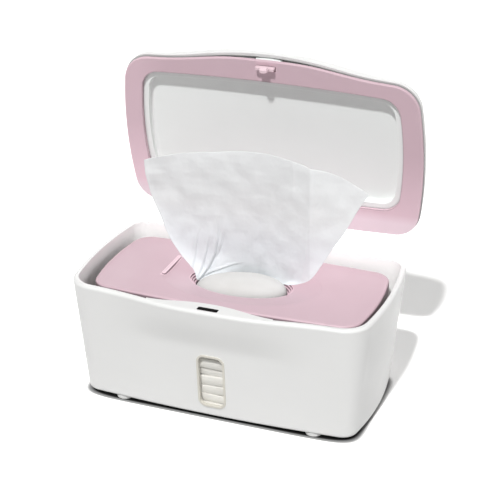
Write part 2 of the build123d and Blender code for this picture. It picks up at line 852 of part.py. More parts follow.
def wipe_section(left, right, z, left_place, right_place, bow, depth):
    """A wavy ribbon across the standing wipe at height z, bowed to the back and leaning back at its right."""
    step = (right - left) / wipe_folds

    def line_y(x):
        share = (x - left) / (right - left)
        straight = left_place + (right_place - left_place) * share
        return straight + 4 * bow * share * (1 - share) + wipe_lean * max(0.0, x - wipe_lean_start)

    front = []
    back = []
    for fold in range(wipe_folds):
        start = left + step * fold
        side = 1 if fold % 2 == 0 else -1
        swing = side * depth * (1 - wipe_fold_change * sin(wipe_fold_rhythm * fold))
        middle = start + step / 2
        end = start + step
        points = [(start, line_y(start)), (middle, line_y(middle) + swing), (end, line_y(end))]
        front.append(ThreePointArc(*points))
        back.append(ThreePointArc(*[(x, y + wipe_thickness) for x, y in points]))
    ends = [Line((x, line_y(x)), (x, line_y(x) + wipe_thickness)) for x in (left, right)]
    return Pos(0, 0, z) * make_face(front + back + ends)


def make_pulled_wipe():
    """The wipe that stands up through the opening: narrow and folded at its foot, wide and smoother above."""
    foot = crown_top + wipe_foot_gap
    sections = []
    shapes = zip(
        wipe_levels,
        wipe_lefts,
        wipe_rights,
        wipe_left_places,
        wipe_right_places,
        wipe_bows,
        wipe_fold_depths,
    )
    for level, left, right, left_place, right_place, bow, depth in shapes:
        z = foot + wipe_height * level
        sections.append(wipe_section(-left, right, z, left_place, right_place, bow, depth))
    top = foot + wipe_height
    left = -wipe_lefts[-1]
    right = wipe_rights[-1]
    left_corner = top - wipe_left_corner_drop
    right_corner = top - wipe_right_corner_drop
    hem = ThreePointArc((left, left_corner), ((left + right) / 2, top), (right, right_corner))
    beside = wipe_right_corner_drop
    above = top + beside
    sides = Polyline(
        (right, right_corner),
        (right + beside, right_corner),
        (right + beside, above),
        (left - beside, above),
        (left - beside, left_corner),
        (left, left_corner),
    )
    face = Plane(origin=(0, 0, 0), x_dir=(1, 0, 0), z_dir=(0, -1, 0)) * make_face([hem] + sides.edges())
    return loft(sections) - extrude(face, rim_depth, both=True)


def main():
    closed_lid = {
        "lid_shell": make_lid_shell(),
        "lid_seal": make_lid_seal(),
        "lid_tray": make_lid_tray(),
        "latch_button": make_latch_button(),
        "latch_hook": make_latch_hook(),
        "latch_spring": make_latch_spring(),
    }
    pieces = {name: solid.rotate(hinge_line, -lid_open_angle) for name, solid in closed_lid.items()}
    pieces["tub"] = make_tub()
    pieces["window_bezel"] = make_window_bezel()
    pieces["window_pane"] = make_window_pane()
    for name, (x, y) in foot_places().items():
        pieces[name] = make_foot(x, y)
    pieces["hinge_pin"] = make_hinge_pin()
    spring = make_lid_spring()
    pieces["lid_spring_right"] = spring
    pieces["lid_spring_left"] = mirror(spring, Plane.YZ)
    pieces["plate_top"] = make_plate_top()
    pieces["plate_weight"] = make_plate_weight()
    pieces["plate_base"] = make_plate_base()
    pieces["wipe_stack"] = make_wipe_stack()
    pieces["pulled_wipe"] = make_pulled_wipe()
    front = pieces["tub"].bounding_box().min.Y
    back = pieces["lid_shell"].bounding_box().max.Y
    middle = (front + back) / 2
    os.makedirs("parts", exist_ok=True)
    for name, solid in pieces.items():
        export_step(Pos(0, -middle, 0) * solid, f"parts/{name}.step")
    torsion_gap_found = least_gap(lid_spring_radius, lid_spring_pitch, lid_spring_turns, lid_spring_wire)
    print("gap in a lid spring", round(torsion_gap_found, 3))
    coil_gap_found = least_gap(latch_spring_radius, latch_spring_pitch, latch_spring_turns, latch_spring_wire)
    print("gap in the latch spring", round(coil_gap_found, 3))
    print("moved forward by", round(middle, 3))
    print("hinge line at y", round(hinge_y - middle, 3), "z", round(hinge_z, 3))


main()
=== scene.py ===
import bpy
import bmesh
import math
import random
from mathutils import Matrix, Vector, noise


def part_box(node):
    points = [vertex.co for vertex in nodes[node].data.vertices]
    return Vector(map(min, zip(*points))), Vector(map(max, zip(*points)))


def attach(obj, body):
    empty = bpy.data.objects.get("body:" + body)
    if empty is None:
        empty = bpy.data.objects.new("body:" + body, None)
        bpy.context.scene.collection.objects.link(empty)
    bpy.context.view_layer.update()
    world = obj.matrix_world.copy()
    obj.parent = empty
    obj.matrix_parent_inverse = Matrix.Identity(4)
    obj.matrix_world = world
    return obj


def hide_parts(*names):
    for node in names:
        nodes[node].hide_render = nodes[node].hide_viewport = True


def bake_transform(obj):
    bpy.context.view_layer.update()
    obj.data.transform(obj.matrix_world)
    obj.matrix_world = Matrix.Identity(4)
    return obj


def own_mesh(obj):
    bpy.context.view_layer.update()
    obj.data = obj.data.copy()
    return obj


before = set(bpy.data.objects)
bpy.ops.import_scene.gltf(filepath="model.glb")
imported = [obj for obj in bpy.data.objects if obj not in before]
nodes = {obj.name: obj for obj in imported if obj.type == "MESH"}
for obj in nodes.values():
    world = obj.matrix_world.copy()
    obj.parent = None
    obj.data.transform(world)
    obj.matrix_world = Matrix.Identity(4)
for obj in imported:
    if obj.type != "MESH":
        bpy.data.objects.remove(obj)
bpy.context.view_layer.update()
MM = 0.001
X, Y, Z = 0, 1, 2

# Sizes and places are in millimetres. Places are counted from the tub's middle and the floor, except in
# the materials, where they are in the part's frame. MIDDLE_Y is the tub's middle in that frame

MIDDLE_Y = -9.217
HINGE_Y = 76.6
HINGE_Z = 96.6
OPEN_ANGLE = math.radians(81.0)


def spot(x, y, z):
    """A point given from the tub's middle in millimetres, in the part's frame in metres."""
    return Vector((x, y + MIDDLE_Y, z)) * MM


def clamp(value):
    """A value, held between 0 and 1."""
    return max(0.0, min(1.0, value))


# Node trees

class Tree:
    """A short way to write a node tree."""

    def __init__(self, owner):
        owner.use_nodes = True
        self.nodes = owner.node_tree.nodes
        self.links = owner.node_tree.links

    def node(self, kind, operation=None):
        node = self.nodes.new("ShaderNode" + kind)
        if operation:
            node.operation = operation
        return node

    def feed(self, socket, value):
        """Links a socket to another node's output, or sets it to a number, a vector or an opaque colour."""
        if isinstance(value, bpy.types.NodeSocket):
            self.links.new(value, socket)
        elif isinstance(value, tuple) and len(socket.default_value) > len(value):
            socket.default_value = (*value, 1)
        else:
            socket.default_value = value

    def result(self, node, *values):
        """The first output of a node whose first inputs get the values."""
        for socket, value in zip(node.inputs, values):
            self.feed(socket, value)
        return node.outputs[0]

    def math(self, operation, *values):
        return self.result(self.node("Math", operation), *values)

    def vector_math(self, operation, *values):
        node = self.node("VectorMath", operation)
        self.result(node, *values)
        return node.outputs["Value" if operation == "DOT_PRODUCT" else "Vector"]

    def scaled(self, colour, share):
        node = self.node("VectorMath", "SCALE")
        self.feed(node.inputs["Scale"], share)
        return self.result(node, colour)

    def mix(self, share, first, second):
        return self.result(self.node("MixRGB"), share, first, second)

    def spread(self, value, low, high, to_low=0.0, to_high=1.0):
        """A value that goes from one level to another between low and high, and stays there beyond them."""
        return self.result(self.node("MapRange"), value, low, high, to_low, to_high)

    def axis(self, vector, number):
        node = self.node("SeparateXYZ")
        self.result(node, vector)
        return node.outputs[number]

    def geometry(self, name):
        return self.node("NewGeometry").outputs[name]


def seen_ray(tree):
    """1 for rays from the camera, and for reflected and refracted ones, 0 for those that light the object."""
    ray = tree.node("LightPath").outputs
    share = tree.math("MAXIMUM", ray["Is Camera Ray"], ray["Is Glossy Ray"])
    return tree.math("MAXIMUM", share, ray["Is Transmission Ray"])


# Camera, lights and floor. The camera was fitted to the photograph

CAMERA_PLACE = (345.4, -914.0, 570.2)
CAMERA_TARGET = (0.0, 0.0, 93.04)
CAMERA_SHIFT = (0.02, 0.0499)
SENSOR_WIDTH = 36.0
FOCAL_LENGTH_IN_PICTURE_WIDTHS = 2.9334
CLIP_START = 50.0
CLIP_END = 30000.0

# Each lamp's way, strength and angular size in radians
LAMPS = {
    "key": ((-0.022, 0.735, -1.0), 2.78, 0.06),
    "fill": ((-1.0, 0.10, -0.10), 0.66, 0.8),
    "back": ((0.12, -1.0, -0.14), 1.0, 0.8),
}
WORLD_LIGHT = 0.30
WORLD_SHOWN = 1.0

FLOOR_HALF_WIDTH = 12000.0
FLOOR_LIGHT = (0.46, 0.46, 0.46)
FLOOR_SHOWN = (1.5, 1.495, 1.48)
FLOOR_BAND = (0.30, 0.30, 0.30)
FLOOR_CORE = (0.02, 0.02, 0.02)
FLOOR_GLOW = 0.03

# The painted shade under the tub is a rounded rectangle, whose soft edge begins and ends at the fade's two
# values
FOOTPRINT_HALF_WIDTH = 108.0
FOOTPRINT_HALF_DEPTH = 53.6
FOOTPRINT_SPREAD = 2.9
FOOTPRINT_SQUARENESS = 9.0
FOOTPRINT_FADE = (1.05, 0.80)


def make_camera():
    data = bpy.data.cameras.new("camera")
    data.sensor_width = SENSOR_WIDTH
    data.lens = FOCAL_LENGTH_IN_PICTURE_WIDTHS * SENSOR_WIDTH
    data.shift_x, data.shift_y = CAMERA_SHIFT
    data.clip_start = CLIP_START * MM
    data.clip_end = CLIP_END * MM
    camera = bpy.data.objects.new("camera", data)
    bpy.context.scene.collection.objects.link(camera)
    camera.location = spot(*CAMERA_PLACE)
    camera.rotation_mode = "QUATERNION"
    camera.rotation_quaternion = (spot(*CAMERA_TARGET) - spot(*CAMERA_PLACE)).to_track_quat("-Z", "Y")
    bpy.context.scene.camera = camera


def make_lamp(name):
    """A far lamp, which shines one way everywhere."""
    way, strength, angle = LAMPS[name]
    data = bpy.data.lights.new(name, "SUN")
    data.energy = strength
    data.angle = angle
    lamp = bpy.data.objects.new(name, data)
    lamp.rotation_mode = "QUATERNION"
    lamp.rotation_quaternion = Vector(way).to_track_quat("-Z", "Y")
    bpy.context.scene.collection.objects.link(lamp)
    return lamp


def shine_through(lamp, piece):
    """Lets a lamp's light pass a thin sheet, so that it throws no hard shadow."""
    blockers = bpy.data.collections.new(lamp.name + "_blockers")
    blockers.objects.link(piece)
    lamp.light_linking.blocker_collection = blockers
    blockers.collection_objects[0].light_linking.link_state = "EXCLUDE"


def make_world():
    world = bpy.data.worlds.new("studio")
    bpy.context.scene.world = world
    tree = Tree(world)
    background = tree.nodes["Background"]
    strength = tree.spread(seen_ray(tree), 0.0, 1.0, WORLD_LIGHT, WORLD_SHOWN)
    tree.feed(background.inputs["Color"], (1.0, 1.0, 1.0))
    tree.feed(background.inputs["Strength"], strength)


def under_tub(tree, spread):
    """1 on the floor in the shade under the tub's base and as far as spread round it, 0 elsewhere."""
    position = tree.geometry("Position")
    shares = []
    for axis, middle, half in ((X, 0.0, FOOTPRINT_HALF_WIDTH), (Y, MIDDLE_Y, FOOTPRINT_HALF_DEPTH)):
        off_middle = tree.math("SUBTRACT", tree.axis(position, axis), middle * MM)
        share = tree.math("ABSOLUTE", tree.math("DIVIDE", off_middle, (half + spread) * MM))
        shares.append(tree.math("POWER", share, FOOTPRINT_SQUARENESS))
    return tree.spread(tree.math("ADD", *shares), *FOOTPRINT_FADE)


def floor_material():
    """Grey to the rays that light the object, and nearly white, with its shadow and a painted shade under the
    tub, to those that are seen.
    """
    material = bpy.data.materials.new("floor")
    tree = Tree(material)
    tree.nodes.clear()
    plain = tree.result(tree.node("BsdfDiffuse"), FLOOR_LIGHT)
    core = under_tub(tree, 0.0)
    colour = tree.mix(under_tub(tree, FOOTPRINT_SPREAD), FLOOR_SHOWN, FLOOR_BAND)
    shown = tree.result(tree.node("BsdfDiffuse"), tree.mix(core, colour, FLOOR_CORE))
    glow = tree.result(tree.node("Emission"), (1.0, 1.0, 1.0), tree.spread(core, 0.0, 1.0, FLOOR_GLOW, 0.0))
    shown = tree.result(tree.node("AddShader"), shown, glow)
    either = tree.result(tree.node("MixShader"), seen_ray(tree), plain, shown)
    tree.feed(tree.node("OutputMaterial").inputs["Surface"], either)
    return material


def make_floor():
    mesh = bpy.data.meshes.new("floor")
    far = FLOOR_HALF_WIDTH * MM
    mesh.from_pydata([(-far, -far, 0), (far, -far, 0), (far, far, 0), (-far, far, 0)], [], [(0, 1, 2, 3)])
    mesh.materials.append(floor_material())
    floor = bpy.data.objects.new("floor", mesh)
    bpy.context.scene.collection.objects.link(floor)


# Materials

PLASTIC_IOR = 1.49
PANE_IOR = 1.5
CLOTH_IOR = 1.35
NOISE_LOW = 0.3
NOISE_HIGH = 0.7
OCCLUSION_SAMPLES = 8
BEVEL_SAMPLES = 4
WHITE = (0.80, 0.80, 0.79)
TRAY_WHITE = (0.842, 0.868, 0.852)
CREAM = (0.66, 0.635, 0.568)
PINK = (0.645, 0.47, 0.525)
HOOK_PINK = (0.80, 0.62, 0.67)
PLATE_PINK = (0.606, 0.442, 0.494)
RIB_HIGHLIGHT_PINK = (0.76, 0.58, 0.635)
SEAL_PINK = (0.62, 0.455, 0.508)
SEAL_PAINTED_LIGHT_PINK = (0.90, 0.735, 0.80)
SLOT_PAINTED_SHADE = (0.006, 0.006, 0.006)
FOOT_GREY = (0.72, 0.72, 0.71)
SPRING_STEEL = (0.62, 0.61, 0.59)
PIN_STEEL = (0.66, 0.66, 0.65)
COATED_STEEL = (0.5, 0.5, 0.5)
PANE_TINT = (0.93, 0.94, 0.93)

# Cloth colours from the darker to the lighter fibres
UPPER_CLOTH = ((0.755, 0.767, 0.770), (0.815, 0.827, 0.830))
BLUER_LOW_CLOTH = ((0.742, 0.770, 0.793), (0.802, 0.830, 0.853))
PRESSED_CLOTH = ((0.80, 0.775, 0.72), (0.86, 0.845, 0.80))
TOP_SHADE_CLOTH = ((0.60, 0.592, 0.575), (0.665, 0.66, 0.65))

# Boxes in the part's frame, as their low and high corners in millimetres
SLOT_SHADE_BOX = ((-7.95, -76.517, 91.5), (7.95, -70.917, 95.1))
RIB_HIGHLIGHT_BOX = ((-60.2, -19.5, 87.9), (-56.0, 15.5, 90.0))
SEAL_OPENING_BOX = ((-104.5, -100, 126.5), (104.5, 100, 227.2))
SEAL_LOW_LIGHT_BOX = ((-200, -200, 0), (200, 200, 120))
BLUER_LOW_BOX = ((-200, -200, 0), (200, 200, 112))

# Where the wipe's painted light begins, past the fold at the right and along its hem at the left, along X
RIGHT_PANEL_LIGHT = (50.3, 51.3)
LEFT_HEM_LIGHT = (-74.0, -73.0)

# Where the stack goes over from its pressed wipes to the top one's painted shade, along Z
TOP_SHADE_HEIGHTS = (60.0, 74.0)


class Material(Tree):
    """The node tree of a material on the Principled shader."""

    def __init__(self, name):
        self.material = bpy.data.materials.new(name)
        super().__init__(self.material)
        self.shader = self.nodes["Principled BSDF"]
        self.place = self.node("TexCoord").outputs["Object"]

    def set(self, **values):
        for name, value in values.items():
            self.feed(self.shader.inputs[name.replace("_", " ")], value)

    def noise(self, scale, detail, rough, stretch=(1, 1, 1)):
        """A noise with a number of waves per metre, drawn out along the axes with a stretch below 1."""
        mapping = self.node("Mapping")
        self.feed(mapping.inputs["Scale"], stretch)
        node = self.node("TexNoise")
        self.feed(node.inputs["Vector"], self.result(mapping, self.place))
        self.feed(node.inputs["Scale"], scale)
        self.feed(node.inputs["Detail"], detail)
        self.feed(node.inputs["Roughness"], rough)
        return node.outputs["Fac"]

    def between(self, value, low, high):
        """A noise's value, spread from low to high."""
        return self.spread(value, NOISE_LOW, NOISE_HIGH, low, high)

    def add(self, first, second, share):
        """A value plus a share of a second one."""
        return self.math("MULTIPLY_ADD", second, share, first)

    def ramp(self, value, low, high, dark, light):
        """A colour from dark to light, as the value goes from low to high."""
        node = self.node("ValToRGB")
        for element, place, colour in zip(node.color_ramp.elements, (low, high), (dark, light)):
            element.position = place
            element.color = (*colour, 1)
        return self.result(node, value)

    def bump(self, height, distance):
        """Bumps of a height in millimetres."""
        node = self.node("Bump")
        self.feed(node.inputs["Strength"], 1.0)
        self.feed(node.inputs["Distance"], distance * MM)
        self.feed(node.inputs["Height"], height)
        self.feed(self.shader.inputs["Normal"], node.outputs[0])


def tinted_box(m, colour, box, soft, tint):
    """A colour that goes over to a tint inside a box, over a soft edge outside it."""
    share = 1.0
    for axis, (low, high) in enumerate(zip(*box)):
        for edge, outside in ((low, low - soft), (high, high + soft)):
            inside = m.spread(m.axis(m.place, axis), outside * MM, edge * MM)
            share = m.math("MULTIPLY", share, inside)
    return m.mix(share, colour, tint)


def by_place(m, colour, axis, low, high, low_share, high_share):
    """A colour times a share, which goes from one value to another between two places along an axis."""
    return m.scaled(colour, m.spread(m.axis(m.place, axis), low * MM, high * MM, low_share, high_share))


def crevice_shade(m, colour, share, reach):
    """A colour, darker to a share of itself in gaps and corners that are narrower than the reach: painted
    shade.
    """
    occlusion = m.node("AmbientOcclusion")
    occlusion.samples = OCCLUSION_SAMPLES
    m.feed(occlusion.inputs["Distance"], reach * MM)
    return m.scaled(colour, m.spread(occlusion.outputs["AO"], 0.35, 0.85, share))


def painted_edge_light(m, colour, radius, gain):
    """A colour times a gain on the part's edges: a painted highlight where the gain is above 1, and painted
    shade where it is below.
    """
    bevel = m.node("Bevel")
    bevel.samples = BEVEL_SAMPLES
    turned = m.vector_math("DOT_PRODUCT", m.result(bevel, radius * MM), m.geometry("Normal"))
    return m.scaled(colour, m.spread(turned, 0.82, 0.995, gain))


def lit_inside(m, colour, gain):
    """A colour, lighter on walls that face the tub's middle, which light each other."""
    from_middle = m.vector_math("SUBTRACT", m.geometry("Position"), (0.0, MIDDLE_Y * MM, 0.0))
    flat = m.vector_math("MULTIPLY", from_middle, (1.0, 1.0, 0.0))
    outward = m.vector_math("DOT_PRODUCT", flat, m.geometry("Normal"))
    return m.scaled(colour, m.spread(outward, -0.02, 0.0, gain))


def side_shade(m, colour, share):
    """A colour, darker to a share of itself on walls that stand upright, down in the gap round the part:
    painted shade.
    """
    return m.scaled(colour, m.spread(m.axis(m.geometry("Normal"), Z), 0.1, 0.6, share))


def seal_edges(m, colour, radius, outer_gain, inner_gain):
    """The seal's colour, with a painted highlight along its outer edge, and painted shade along its inner
    one, next to the tray.
    """
    lit = painted_edge_light(m, colour, radius, outer_gain)
    dark = painted_edge_light(m, colour, radius, inner_gain)
    return tinted_box(m, lit, SEAL_OPENING_BOX, 0.3, dark)


def moulded(name, colour, rough, *changes, uneven=0.012):
    """Moulded plastic: a fine spark-eroded grain, faint flow marks and a slightly uneven sheen.

    Each change is a function that changes the colour, with its values.
    """
    m = Material(name)
    dark = tuple(c - uneven for c in colour)
    light = tuple(c + uneven for c in colour)
    cloud = m.noise(9, 4, 0.55)
    flow = m.noise(30, 2, 0.5, (1, 1, 3))
    painted = m.ramp(m.add(cloud, flow, 0.25), 0.35, 0.9, dark, light)
    for change, *values in changes:
        painted = change(m, painted, *values)
    m.set(Base_Color=painted, IOR=PLASTIC_IOR)
    m.set(Roughness=m.between(m.noise(60, 5, 0.6), rough - 0.05, rough + 0.06))
    m.bump(m.add(m.noise(2600, 2, 0.6), m.noise(900, 2, 0.5), 0.6), 0.01)
    return m.material


def metal(name, colour, rough, stretch):
    """Drawn steel with fine lines along its length."""
    m = Material(name)
    lines = m.noise(500, 3, 0.6, stretch)
    dark = tuple(c * 0.86 for c in colour)
    m.set(Base_Color=m.ramp(lines, NOISE_LOW, NOISE_HIGH, dark, colour), Metallic=1.0)
    m.set(Roughness=m.between(m.noise(120, 3, 0.6, stretch), rough - 0.06, rough + 0.08))
    m.bump(lines, 0.01)
    return m.material


def clear_plastic():
    """Clear styrene: almost see-through face on, less so at a slant, with faint moulding waves."""
    m = Material("clear_pane")
    slant = m.node("LayerWeight")
    m.feed(slant.inputs["Blend"], 0.5)
    steep = m.math("POWER", slant.outputs["Facing"], 5.0)
    m.set(Base_Color=PANE_TINT, IOR=PANE_IOR, Alpha=m.math("MULTIPLY_ADD", steep, 0.6, 0.04))
    m.set(Roughness=m.between(m.noise(40, 3, 0.5), 0.03, 0.10))
    m.bump(m.noise(60, 2, 0.5), 0.006)
    return m.material


def cloth_material():
    """Damp spunlaced wipe: matted fibres with a mesh of dimples, a bluer tint low down, and painted light
    that makes it paler past the fold at its right and along its hem at its left.
    """
    m = Material("wipe_cloth")
    cloud = m.noise(26, 4, 0.6)
    fibres = m.noise(900, 3, 0.7, (1, 1, 0.35))
    matted = m.add(cloud, fibres, 0.25)
    # The wipe takes a bluer tint low down than higher up.
    upper_tone = m.ramp(matted, 0.40, 0.86, *UPPER_CLOTH)
    bluer_tone = m.ramp(matted, 0.40, 0.86, *BLUER_LOW_CLOTH)
    colour = tinted_box(m, upper_tone, BLUER_LOW_BOX, 30, bluer_tone)
    colour = by_place(m, colour, X, *RIGHT_PANEL_LIGHT, 1.0, 1.07)
    m.set(Base_Color=by_place(m, colour, X, *LEFT_HEM_LIGHT, 1.06, 1.0))
    m.set(Roughness=m.between(m.noise(70, 3, 0.6), 0.72, 0.9), IOR=CLOTH_IOR, Sheen_Weight=0.08)
    dimples = m.node("TexVoronoi")
    m.feed(dimples.inputs["Scale"], 620)
    m.feed(dimples.inputs["Vector"], m.place)
    m.bump(m.add(m.add(fibres, m.noise(240, 3, 0.6), 0.7), dimples.outputs["Distance"], 0.5), 0.03)
    return m.material


def stack_material():
    """The same wipes: creamy where they are pressed together, and greyer in the top one, in the opening,
    where the grey is painted shade.
    """
    m = Material("stack_cloth")
    layers = m.noise(60, 3, 0.6, (0.15, 0.15, 2.4))
    uneven = m.add(m.noise(30, 3, 0.6), layers, 0.6)
    pressed = m.ramp(uneven, 0.5, 1.0, *PRESSED_CLOTH)
    # The top wipe's greyer colour is painted shade.
    loose = m.ramp(uneven, 0.5, 1.0, *TOP_SHADE_CLOTH)
    low, high = TOP_SHADE_HEIGHTS
    m.set(Base_Color=m.mix(m.spread(m.axis(m.place, Z), low * MM, high * MM), pressed, loose))
    m.set(Roughness=m.between(m.noise(80, 3, 0.6), 0.75, 0.92), IOR=CLOTH_IOR, Sheen_Weight=0.05)
    m.bump(m.add(layers, m.noise(700, 3, 0.7), 0.4), 0.12)
    return m.material


# The inside of the latch slot is painted near black as painted shade, and lit_inside adds painted light on
# the inner walls.
def tub_plastic():
    return moulded("tub_plastic", WHITE, 0.42, (lit_inside, 1.28), (tinted_box, SLOT_SHADE_BOX, 0.2, SLOT_PAINTED_SHADE))


# The tray gets painted shade in its gaps and corners, and a painted highlight on its edges.
def tray_plastic():
    return moulded("tray_plastic", TRAY_WHITE, 0.38, (crevice_shade, 0.5, 2.5), (painted_edge_light, 2.0, 1.08))


# The plate gets painted shade at its left end and on its upright sides, a painted highlight on the rib, and
# painted highlights on its edges.
def plate_plastic():
    return moulded(
        "plate_plastic", PLATE_PINK, 0.42,
        (by_place, X, -95, -35, 0.93, 1.0),
        (tinted_box, RIB_HIGHLIGHT_BOX, 0.4, RIB_HIGHLIGHT_PINK),
        (side_shade, 0.4),
        (painted_edge_light, 2.2, 1.3),
        uneven=0.008,
    )


def seal_rubber():
    """Soft pink rubber, with painted light that makes it paler down to the seal's lower side and on its left,
    painted shade in its gaps, a painted highlight on its outer edge and painted shade along its inner one.
    """
    return moulded(
        "pink_soft", SEAL_PINK, 0.6,
        (by_place, Z, 105, 180, 1.40, 0.99),
        (by_place, X, -105, -80, 1.12, 1.0),
        (tinted_box, SEAL_LOW_LIGHT_BOX, 8, SEAL_PAINTED_LIGHT_PINK),
        (crevice_shade, 0.4, 2.2),
        (seal_edges, 1.4, 1.3, 0.4),
        uneven=0.008,
    )


def paint_pieces(spring_steel):
    """Gives each piece of the part its material."""
    materials = {
        "tub": tub_plastic(),
        # The shell and the hook get painted shade in their gaps and corners.
        "lid_shell": moulded("white_plastic", WHITE, 0.42, (crevice_shade, 0.5, 3.0)),
        "lid_tray": tray_plastic(),
        "window_bezel": moulded("cream_plastic", CREAM, 0.35),
        "window_pane": clear_plastic(),
        "plate_top": plate_plastic(),
        "plate_base": moulded("pink_plastic", PINK, 0.45, uneven=0.008),
        "plate_weight": metal("coated_sheet", COATED_STEEL, 0.4, (0.1, 1, 1)),
        "latch_hook": moulded("hook_plastic", HOOK_PINK, 0.4, (crevice_shade, 0.5, 2.0), uneven=0.008),
        "lid_seal": seal_rubber(),
        "hinge_pin": metal("pin_steel", PIN_STEEL, 0.22, (0.05, 1, 1)),
    }
    materials["latch_button"] = materials["lid_tray"]
    foot = moulded("foot_rubber", FOOT_GREY, 0.75)
    materials.update((name, foot) for name in nodes if name.startswith("foot_"))
    materials.update((name, spring_steel) for name in ("lid_spring_left", "lid_spring_right", "latch_spring"))
    for name, material in materials.items():
        nodes[name].data.materials.clear()
        nodes[name].data.materials.append(material)


# Meshes

TUBE_SIDES = 12
MERGE_DISTANCE = 0.001


def smooth_object(name, verts, faces, material):
    """A smooth piece from points and faces, with points that fall together made one."""
    mesh = bpy.data.meshes.new(name)
    mesh.from_pydata([tuple(v) for v in verts], [], faces)
    mesh.update()
    work = bmesh.new()
    work.from_mesh(mesh)
    bmesh.ops.remove_doubles(work, verts=work.verts, dist=MERGE_DISTANCE * MM)
    bmesh.ops.recalc_face_normals(work, faces=work.faces)
    work.to_mesh(mesh)
    work.free()
    mesh.shade_smooth()
    mesh.materials.append(material)
    piece = bpy.data.objects.new(name, mesh)
    bpy.context.scene.collection.objects.link(piece)
    return piece


def give_thickness(piece, thickness):
    """Turns a sheet into a thin closed piece, half of the thickness to either side."""
    thick = piece.modifiers.new("thickness", "SOLIDIFY")
    thick.thickness = thickness * MM
    thick.offset = 0
    graph = bpy.context.evaluated_depsgraph_get()
    shaped = bpy.data.meshes.new_from_object(piece.evaluated_get(graph))
    piece.modifiers.clear()
    piece.data = shaped
    shaped.shade_smooth()


def grid_faces(across, up, closed=False):
    """The faces of a grid of points, whose rows may close to rings."""
    faces = []
    for j in range(up - 1):
        for i in range(across if closed else across - 1):
            k = (i + 1) % across
            faces.append((j * across + i, j * across + k, (j + 1) * across + k, (j + 1) * across + i))
    return faces


def ring_faces(across, up, start=0, top=True):
    """The faces of a stack of rings whose points begin at start, with a cap below and, where asked, above."""
    faces = grid_faces(across, up, closed=True)
    faces.append(tuple(reversed(range(across))))
    if top:
        faces.append(tuple((up - 1) * across + k for k in range(across)))
    return [tuple(start + k for k in face) for face in faces]


def wire_tube(name, line, wire, material):
    """A round wire along a line of points, with flat ends."""
    verts = []
    up = (line[1] - line[0]).orthogonal().normalized()
    for i, point in enumerate(line):
        way = (line[min(i + 1, len(line) - 1)] - line[max(i - 1, 0)]).normalized()
        up = (up - way * up.dot(way)).normalized()
        side = way.cross(up)
        for k in range(TUBE_SIDES):
            angle = math.tau * k / TUBE_SIDES
            verts.append(point + (up * math.cos(angle) + side * math.sin(angle)) * wire * MM / 2)
    return smooth_object(name, verts, ring_faces(TUBE_SIDES, len(line)), material)


# The standing wipe. Its edges are points (x, y, z), from the foot up or from left to right

WIPE_THICKNESS = 0.3
WIPE_POINTS_ACROSS = 260
WIPE_POINTS_UP = 150
LEFT_EDGE = [
    (-33, 2, 77.5), (-39.9, 5, 89), (-50.7, 7, 99.4), (-59.7, 8, 112.1),
    (-66.5, 8, 127.9), (-73.3, 7, 145.2), (-76, 5, 161.9), (-76.5, 4, 172.8),
]
RIGHT_EDGE = [
    (34.5, 9, 86.5), (42.5, 10, 88.6), (51.5, 10, 93.3), (59.1, 10, 105.3),
    (67.4, 10, 120.3), (75, 10, 133), (82.6, 10, 148.8), (90.2, 10, 162.4),
]
TOP_EDGE = [
    (-76.5, 4, 172.8), (-52, 8, 179.2), (-24.4, 10, 183.8), (6.9, 10.5, 187.3),
    (31.6, 11, 185.4), (52.8, 11, 181.5), (69.9, 11, 175.2), (90.2, 10, 162.4),
]
FOOT = [
    (-33, 2, 77.5), (-29, 7, 79), (-22, 13, 79), (-12, 18, 80),
    (4, 20, 82), (18, 19, 83), (28, 15, 84), (34.5, 9, 86.5),
]

# Each sharp fold's depth, the width over which it comes forward again, and its line as points (x, z)
FOLDS = [
    (2.6, 5.0, [(-36.7, 78), (-29.2, 88.7), (-24.0, 101.4), (-21.8, 114.8), (-21.0, 138)]),
    (1.5, 3.0, [(-36.2, 79), (-33.2, 92.1), (-30.6, 103.3), (-27.6, 118)]),
    (1.2, 2.5, [(-23.5, 98), (-19.8, 108.6), (-17.3, 123)]),
    (1.0, 2.5, [(-40.5, 88), (-39.5, 100), (-38, 114), (-35, 124)]),
    (1.5, 4.0, [(-36, 80), (-27, 85.5), (-15, 91), (-3, 95)]),
]
FOLD_STEP_WIDTH = 0.2
FOLD_LIP_SHARE = 0.45
FOLD_LIP_PLACE = 1.1

# The wipe's soft wave across, and the ridge where its right side turns back
WAVE_DEPTH = 1.9
WAVE_COUNT = 2.1
RIDGE_X = 51
RIDGE_TURN_AT_FOOT = 12
RIDGE_SLOPE = 0.15
RIDGE_HEIGHT = 3.6
RIDGE_WIDTH = 12
TOP_PLEAT_X = 37
TOP_PLEAT_LOW = 150
TOP_PLEAT_HEIGHT = 0.7
TOP_PLEAT_WIDTH = 2.5
CREASE_DEPTH = 0.22
DIMPLE_DEPTH = 0.8
GRAIN_DEPTH = 0.09
HEM_HEIGHT = 1.3
HEM_WIDTH = 0.018


def along(points, share):
    """A point on the smooth curve through the points, at a share of their number."""
    place = clamp(share) * (len(points) - 1)
    i = min(int(place), len(points) - 2)
    f = place - i
    p = [Vector(points[min(max(i + k, 0), len(points) - 1)]) for k in (-1, 0, 1, 2)]
    return 0.5 * (2 * p[1] + (p[2] - p[0]) * f + (2 * p[0] - 5 * p[1] + 4 * p[2] - p[3]) * f * f
                  + (3 * p[1] - p[0] - 3 * p[2] + p[3]) * f ** 3)


def from_chord(point, points, share):
    """How far a point of a curve is from the straight line between the curve's ends."""
    return point - Vector(points[0]).lerp(Vector(points[-1]), share)


